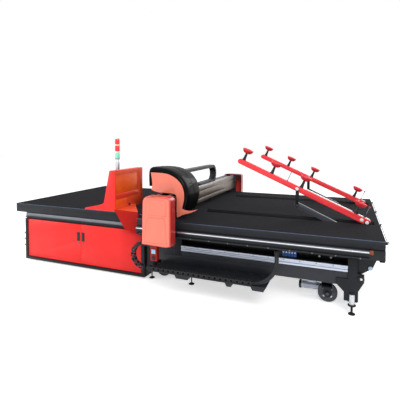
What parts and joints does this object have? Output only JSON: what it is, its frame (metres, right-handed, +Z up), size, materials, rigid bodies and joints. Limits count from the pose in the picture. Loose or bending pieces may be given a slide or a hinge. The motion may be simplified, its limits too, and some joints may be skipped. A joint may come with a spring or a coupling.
{
  "type": "glass cutting machine",
  "caption": "Glass cutting machine with a felt bed, travelling gantry and cutting head, break-out bed with cabinet and desk, and tilting loading arms with suction cups.",
  "frame": {"origin": "on the floor, in the middle of the whole machine", "axes": "+X along the beds from the desk end to the loading arms, +Y across the beds away from the cabinet doors, +Z up"},
  "size_m": [5.445, 3.32, 1.974],
  "materials": {
    "bed_board": "coated board, satin",
    "felt": "dense wool felt",
    "dark_frame": "textured powder coat",
    "rail_bed": "drawn and black anodised",
    "steel_rail": "ground",
    "rack_steel": "milled, oiled",
    "duct_aluminium": "anodised",
    "dark_sheet": "fine powder coat",
    "dark_plate": "powder coat",
    "foot_rubber": "matt",
    "jack_white": "gloss paint",
    "motor_silver": "cast, silver paint",
    "wheel_steel": "turned",
    "cabinet_black": "textured powder coat",
    "trim_silver": "brushed",
    "mount_plate": "zinc plated",
    "gland_grey": "moulded",
    "door_red": "powder coat",
    "desk_red": "gloss powder coat",
    "panel_orange": "printed film",
    "chute_red": "gloss powder coat",
    "stop_red": "moulded",
    "lamp_plastic": "clear coloured domes",
    "chain_black": "moulded nylon",
    "hose_black": "corrugated nylon",
    "valve_blue": "moulded",
    "bar_pale": "anodised",
    "guide_steel": "ground and painted",
    "cylinder_steel": "anodised",
    "beam_bronze": "bronze anodised",
    "cover_red": "moulded, high gloss",
    "block_steel": "ground",
    "motor_red": "cast, painted",
    "chain_grey": "moulded nylon",
    "saddle_grey": "satin paint",
    "cover_black": "moulded, high gloss",
    "slide_aluminium": "anodised",
    "holder_brass": "turned",
    "wheel_carbide": "ground",
    "arm_red": "gloss powder coat",
    "cup_red": "moulded silicone",
    "lever_grey": "satin paint",
    "link_black": "black oxide"
  },
  "bodies": {
    "machine": {"break_board": "bed_board", "break_felt": "felt", "break_frame": "dark_frame", "cut_board": "bed_board", "cut_felt": "felt", "cut_frame": "dark_frame", "rail_beds": "rail_bed", "gantry_rails": "steel_rail", "gear_racks": "rack_steel", "side_beams": "dark_frame", "closing_panels": "dark_sheet", "cable_profiles": "duct_aluminium", "frame_legs": "dark_frame", "leg_plates": "dark_plate", "end_gussets": "dark_plate", "levelling_feet": "foot_rubber", "lift_jacks": "jack_white", "wheel_beams": "dark_frame", "axle_brackets": "dark_plate", "travel_motor": "motor_silver", "cabinet_shell": "cabinet_black", "cabinet_trim": "trim_silver", "cabinet_plate": "mount_plate", "cable_glands": "gland_grey", "desk_body": "desk_red", "desk_panel": "panel_orange", "desk_bracket": "chute_red", "light_tower": "lamp_plastic", "chain_tray": "dark_plate", "long_chain": "chain_black", "chain_hose": "hose_black", "valve_bank": "valve_blue", "edge_bar": "bar_pale", "lift_guides": "guide_steel", "lift_cylinder": "cylinder_steel"},
    "drive_axle": {"drive_wheels": "wheel_steel"},
    "idle_axle": {"idle_wheels": "wheel_steel"},
    "left_door": {"door_left": "door_red"},
    "right_door": {"door_right": "door_red"},
    "stop_button": {"stop_knob": "stop_red"},
    "gantry": {"gantry_beam": "beam_bronze", "beam_rails": "steel_rail", "end_plates": "dark_plate", "end_covers": "cover_red", "rail_blocks": "block_steel", "gantry_motors": "motor_red", "beam_chain": "chain_grey"},
    "pinions": {"drive_pinions": "rack_steel"},
    "carriage": {"head_saddle": "saddle_grey", "head_cover": "cover_black", "cover_plate": "cover_red"},
    "head": {"head_slide": "slide_aluminium"},
    "swivel": {"cutter_holder": "holder_brass"},
    "cutter": {"cutter_wheel": "wheel_carbide"},
    "cradle": {"arm_cradle": "dark_frame"},
    "arms": {"arm_tubes": "arm_red", "suction_cups": "cup_red"},
    "levers": {"arm_levers": "lever_grey"},
    "links": {"arm_links": "link_black"}
  },
  "joints": [
    {"name": "gantry_travel", "type": "slide", "parent": "machine", "child": "gantry", "axis": [1, 0, 0], "range_m": [0, 0.75], "deforming": ["long_chain"]},
    {"name": "pinion_spin", "type": "hinge", "parent": "gantry", "child": "pinions", "pos_m": [0.0575, 0, 0.6725], "axis": [0, 1, 0], "range_deg": [-1500, 60]},
    {"name": "carriage_travel", "type": "slide", "parent": "gantry", "child": "carriage", "axis": [0, 1, 0], "range_m": [-0.15, 2.05], "deforming": ["beam_chain"]},
    {"name": "head_lift", "type": "slide", "parent": "carriage", "child": "head", "axis": [0, 0, 1], "range_m": [-0.025, 0.005]},
    {"name": "cutter_swivel", "type": "hinge", "parent": "head", "child": "swivel", "pos_m": [0.2599, -1.05, 0.96], "axis": [0, 0, 1], "continuous": true},
    {"name": "cutter_spin", "type": "hinge", "parent": "swivel", "child": "cutter", "pos_m": [0.2599, -1.05, 0.934], "axis": [0, 1, 0], "continuous": true},
    {"name": "arms_lift", "type": "slide", "parent": "machine", "child": "cradle", "axis": [0, 0, 1], "range_m": [-0.215, 0]},
    {"name": "arms_tilt", "type": "hinge", "parent": "cradle", "child": "arms", "pos_m": [2.5375, 0, 0.91], "axis": [0, 1, 0], "range_deg": [-24, 40]},
    {"name": "lever_swing", "type": "hinge", "parent": "cradle", "child": "levers", "pos_m": [2.5375, 0, 0.69], "axis": [0, 1, 0], "range_deg": [-24, 40]},
    {"name": "link_swing", "type": "hinge", "parent": "arms", "child": "links", "pos_m": [1.6879, 0, 1.28826], "axis": [0, 1, 0], "range_deg": [-40, 24]},
    {"name": "left_door_hinge", "type": "hinge", "parent": "machine", "child": "left_door", "pos_m": [-2.4345, -1.192, 0.07], "axis": [0, 0, -1], "range_deg": [0, 90]},
    {"name": "right_door_hinge", "type": "hinge", "parent": "machine", "child": "right_door", "pos_m": [-0.3605, -1.192, 0.07], "axis": [0, 0, 1], "range_deg": [0, 90]},
    {"name": "stop_press", "type": "slide", "parent": "machine", "child": "stop_button", "axis": [-1, 0, 0], "range_m": [0, 0.005], "stiffness_N_per_m": 600, "springref_m": -0.001},
    {"name": "drive_axle_spin", "type": "hinge", "parent": "machine", "child": "drive_axle", "pos_m": [2.1015, 0, 0.113], "axis": [0, 1, 0], "continuous": true},
    {"name": "idle_axle_spin", "type": "hinge", "parent": "machine", "child": "idle_axle", "pos_m": [-0.1025, 0, 0.113], "axis": [0, 1, 0], "continuous": true}
  ],
  "couplings": [
    {"joint": "pinion_spin", "follows": "gantry_travel", "rad_per_m": -33.333},
    {"joint": "lever_swing", "follows": "arms_tilt", "ratio": 1},
    {"joint": "link_swing", "follows": "arms_tilt", "ratio": -1}
  ]
}
